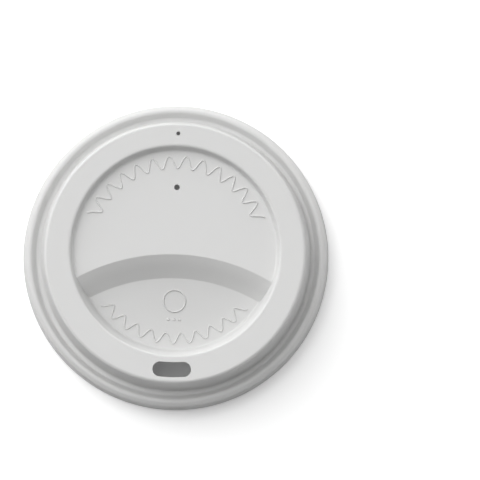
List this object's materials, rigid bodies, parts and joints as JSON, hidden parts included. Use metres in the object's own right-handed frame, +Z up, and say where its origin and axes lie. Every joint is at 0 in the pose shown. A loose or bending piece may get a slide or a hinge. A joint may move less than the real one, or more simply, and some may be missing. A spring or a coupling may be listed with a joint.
{
  "type": "coffee cup lid",
  "caption": "Moulded plastic sip-through lid for a paper coffee cup: domed top with a two-level recess, a curved drinking slot, small vents and a snap bead over a flared skirt.",
  "frame": {"origin": "centre of the rim that the lid rests on, on the lid's axis", "axes": "+Z up along the lid's axis towards its top, the drinking slot on the -Y side, +X to the right seen from the drinking side"},
  "size_m": [0.0928, 0.0928, 0.018],
  "materials": {
    "lid": "white moulded plastic, low sheen"
  },
  "bodies": {
    "root": {"lid": "lid"}
  },
  "joints": []
}
